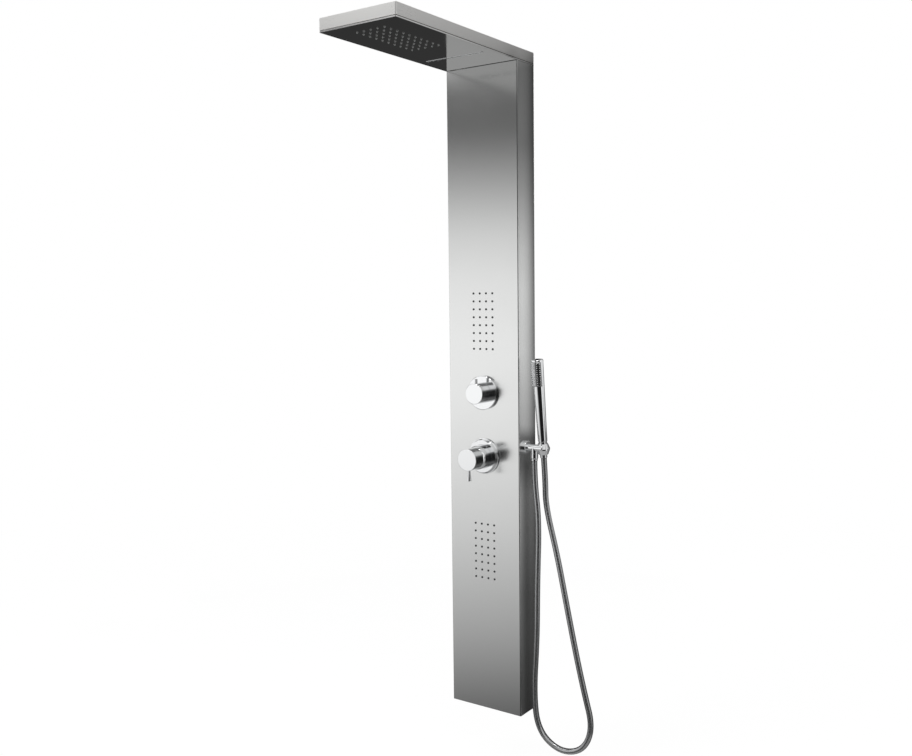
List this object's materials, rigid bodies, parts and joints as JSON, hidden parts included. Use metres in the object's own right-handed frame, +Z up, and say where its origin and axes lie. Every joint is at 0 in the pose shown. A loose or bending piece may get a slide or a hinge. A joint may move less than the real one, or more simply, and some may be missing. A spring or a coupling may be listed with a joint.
{
  "type": "rainfall shower column",
  "caption": "Wall-hung rectangular shower column with an overhead rain head and waterfall slot, body-jet fields, diverter and mixer knobs, and a stick hand shower on a hanging hose.",
  "frame": {"origin": "on the wall plane, midway between the upper wall bracket's two screw holes", "axes": "+Z up along the column; +Y into the wall, so the column's front faces -Y; +X to the right, the side that the hand shower hangs on"},
  "size_m": [0.3837, 0.525, 1.6651],
  "materials": {
    "brushed_stainless": "fine vertical brushed grain",
    "polished_stainless": "mirror polished",
    "chrome": "polished chrome plate",
    "hose_steel": "ribbed interlocked chrome",
    "brass": "raw cast and turned brass",
    "pale_silicone": "satin",
    "dark_silicone": "satin",
    "spray_grey": "satin",
    "spray_tip": "satin",
    "cartridge_plastic": "moulded",
    "chamber_plastic": "moulded",
    "tube_steel": "drawn tube",
    "bracket_steel": "zinc-plated sheet"
  },
  "bodies": {
    "panel": {"cartridge_nut": "brass", "cold_inlet": "brass", "diverter_body": "brass", "diverter_cartridge": "cartridge_plastic", "diverter_escutcheon": "chrome", "diverter_nut": "brass", "head_plate": "polished_stainless", "head_shell": "brushed_stainless", "head_stays": "bracket_steel", "holder_ring": "chrome", "hose": "hose_steel", "hose_nut_outlet": "chrome", "hot_inlet": "brass", "lower_hanger": "bracket_steel", "lower_jet_manifold": "chamber_plastic", "lower_jet_nozzles": "dark_silicone", "lower_wall_bracket": "bracket_steel", "mixer_body": "brass", "mixer_cartridge": "cartridge_plastic", "mixer_escutcheon": "chrome", "mixer_sleeve": "chrome", "outlet_arm": "chrome", "outlet_rosette": "chrome", "panel_casing": "brushed_stainless", "panel_foot": "brushed_stainless", "pipe_hand_shower": "tube_steel", "pipe_lower_jets": "tube_steel", "pipe_mixer_to_diverter": "tube_steel", "pipe_rain": "tube_steel", "pipe_straps": "tube_steel", "pipe_upper_jets": "tube_steel", "pipe_waterfall": "tube_steel", "rain_chamber": "chamber_plastic", "rain_nozzles": "pale_silicone", "upper_hanger": "bracket_steel", "upper_jet_manifold": "chamber_plastic", "upper_jet_nozzles": "dark_silicone", "upper_wall_bracket": "bracket_steel", "waterfall_chamber": "chamber_plastic", "waterfall_spout": "polished_stainless"},
    "diverter_handle": {"diverter_knob": "chrome", "diverter_pin": "chrome", "diverter_set_screw": "bracket_steel", "diverter_stem": "brass"},
    "mixer_turn": {"mixer_carrier": "brass"},
    "mixer_lever": {"mixer_knob": "chrome", "mixer_lever_pin": "chrome", "mixer_set_screw": "bracket_steel", "mixer_spindle": "brass", "mixer_pivot_pin": "bracket_steel"},
    "hose_end": {"hose_nut_handset": "chrome"},
    "handset": {"handset_body": "chrome", "handset_cap": "chrome", "handset_spray_plate": "spray_grey", "handset_nozzles": "spray_tip", "handset_inlet": "brass"}
  },
  "joints": [
    {"name": "diverter_turn", "type": "hinge", "parent": "panel", "child": "diverter_handle", "pos_m": [0, -0.0775, -0.694], "axis": [0, -1, 0], "range_deg": [-120, 120]},
    {"name": "mixer_temperature", "type": "hinge", "parent": "panel", "child": "mixer_turn", "pos_m": [0, -0.0775, -0.8487], "axis": [0, -1, 0], "range_deg": [-45, 45]},
    {"name": "mixer_flow", "type": "hinge", "parent": "mixer_turn", "child": "mixer_lever", "pos_m": [0, -0.1075, -0.8487], "axis": [-1, 0, 0], "range_deg": [0, 22]},
    {"name": "handset_lift", "type": "slide", "parent": "panel", "child": "hose_end", "axis": [0, -0.1219, 0.9925], "range_m": [0, 0.045]},
    {"name": "handset_swivel", "type": "hinge", "parent": "hose_end", "child": "handset", "pos_m": [0.1435, -0.042, -0.8064], "axis": [0, -0.1219, 0.9925], "continuous": true}
  ]
}
